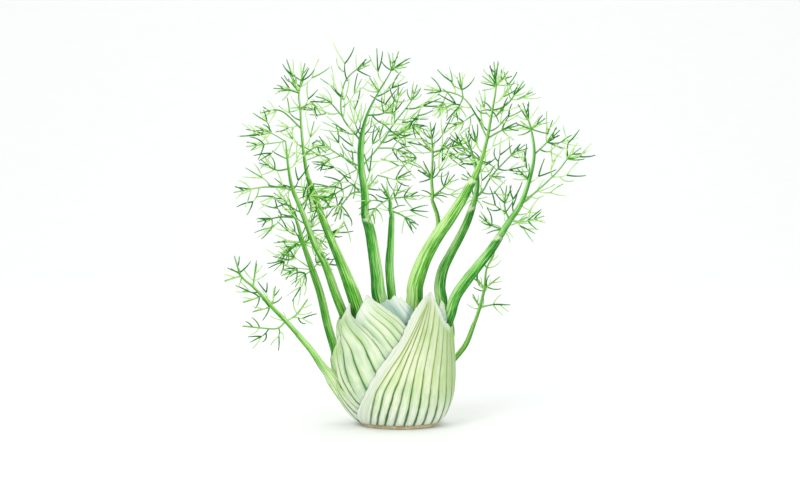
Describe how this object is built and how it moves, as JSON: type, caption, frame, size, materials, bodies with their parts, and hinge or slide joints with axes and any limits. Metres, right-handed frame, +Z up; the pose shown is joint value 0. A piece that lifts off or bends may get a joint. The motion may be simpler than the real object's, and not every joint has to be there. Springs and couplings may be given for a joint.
{
  "type": "fennel bulb",
  "caption": "Fresh fennel as picked: pale ribbed bulb of overlapping leaf sheaths on a cut root plate, with green stalks branching into feathery fronds.",
  "frame": {"origin": "middle of the flat cut under the root plate, on the surface that the bulb stands on", "axes": "+Z up the bulb; +X to the right of its broad face; -Y to the front"},
  "size_m": [0.3039, 0.0824, 0.318],
  "materials": {
    "root_plate": "dry cut plant tissue, cream to light brown, matt",
    "sheath": "waxy pale green to white leaf base with fine green veins, soft sheen",
    "stalk": "ribbed green stalk with lighter streaks, soft sheen",
    "frond": "fine thread-like green leaf, matt"
  },
  "bodies": {
    "root": {"root_plate": "root_plate", "far_left_sheath": "sheath", "left_outer_sheath": "sheath", "left_middle_sheath": "sheath", "left_inner_sheath": "sheath", "centre_sheath": "sheath", "heart_sheath": "sheath", "right_thick_sheath": "sheath", "right_slender_sheath": "sheath", "right_outer_sheath": "sheath", "far_right_sheath": "sheath", "far_left_stalk": "stalk", "left_outer_stalk": "stalk", "left_middle_stalk": "stalk", "left_inner_stalk": "stalk", "centre_stalk": "stalk", "heart_stalk": "stalk", "right_thick_stalk": "stalk", "right_slender_stalk": "stalk", "right_outer_stalk": "stalk", "far_right_stalk": "stalk", "young_stalk": "stalk", "far_left_frond": "frond", "left_outer_frond": "frond", "left_middle_frond": "frond", "left_inner_frond": "frond", "centre_frond": "frond", "heart_frond": "frond", "right_thick_frond": "frond", "right_slender_frond": "frond", "right_outer_frond": "frond", "far_right_frond": "frond", "young_frond": "frond"}
  },
  "joints": []
}
